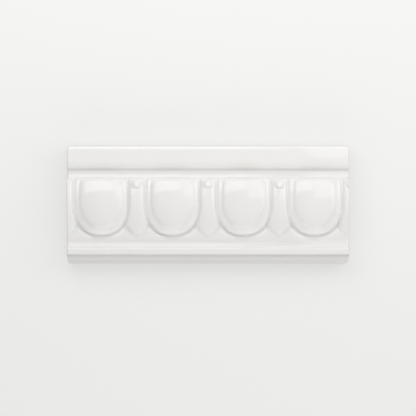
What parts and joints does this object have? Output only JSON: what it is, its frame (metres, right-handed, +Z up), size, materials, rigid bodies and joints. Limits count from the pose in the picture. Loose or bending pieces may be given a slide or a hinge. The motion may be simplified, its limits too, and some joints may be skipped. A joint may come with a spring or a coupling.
{
  "type": "moulding tile",
  "caption": "Glazed ceramic wall moulding tile with a relief band of eggs, shells and darts between plain fascia, cove and nosing members; flat keyed back.",
  "frame": {"origin": "centre of the tile's flat back, on the wall's plane", "axes": "+X along the tile, +Y into the wall, so the face looks along -Y, +Z up"},
  "size_m": [0.152, 0.0202, 0.064],
  "materials": {
    "white_glaze": "gloss white glaze, softly rounded on every arris; the back is bare pale biscuit"
  },
  "bodies": {
    "root": {"moulding_tile": "white_glaze"}
  },
  "joints": []
}
